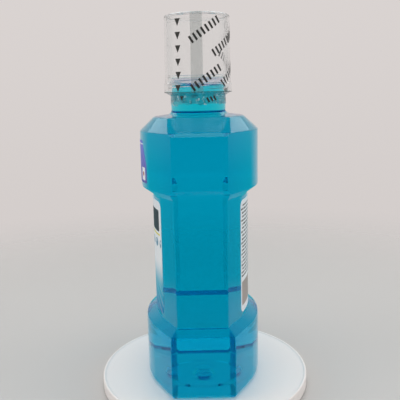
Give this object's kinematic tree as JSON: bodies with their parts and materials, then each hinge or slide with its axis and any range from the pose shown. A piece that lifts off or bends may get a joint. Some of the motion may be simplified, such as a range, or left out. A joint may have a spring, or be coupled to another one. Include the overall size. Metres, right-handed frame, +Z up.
{
  "type": "mouthwash bottle",
  "caption": "Full clear bottle of teal mouthwash with a wide shoulder and foot, a gripping waist, a clear screw cap that is a measuring cup, shrink film with a tear strip, and labels.",
  "frame": {"origin": "on the surface the bottle stands on, in the middle of its box and on the axis of the neck", "axes": "+Z up along the neck, X along the bottle's width, the front label faces -Y"},
  "size_m": [0.104, 0.0796, 0.2452],
  "materials": {
    "clear_pet": "gloss",
    "teal_liquid": "gloss",
    "clear_cap": "gloss",
    "soft_seal": "satin",
    "clear_film": "gloss",
    "strip_film": "gloss",
    "front_print": "satin",
    "violet_print": "satin",
    "back_print": "satin"
  },
  "bodies": {
    "container": {"bottle": "clear_pet", "mouthwash": "teal_liquid", "neck_film": "clear_film", "front_label": "front_print", "shoulder_label": "violet_print", "back_label": "back_print"},
    "liner": {"cap_liner": "soft_seal"},
    "cap": {"dosing_cap": "clear_cap", "cap_film": "clear_film"},
    "strip": {"tear_strip": "strip_film"}
  },
  "joints": [
    {"name": "cap_rise", "type": "slide", "parent": "container", "child": "liner", "axis": [0, 0, 1], "range_m": [0, 0.01693]},
    {"name": "cap_turn", "type": "hinge", "parent": "liner", "child": "cap", "pos_m": [0, 0, 0.2], "axis": [0, 0, 1], "range_deg": [0, 1440]},
    {"name": "strip_pull", "type": "slide", "parent": "cap", "child": "strip", "axis": [0.8241, -0.5664, 0], "range_m": [0, 0.03]}
  ],
  "couplings": [
    {"joint": "cap_rise", "follows": "cap_turn", "m_per_rad": 0.00067323}
  ]
}
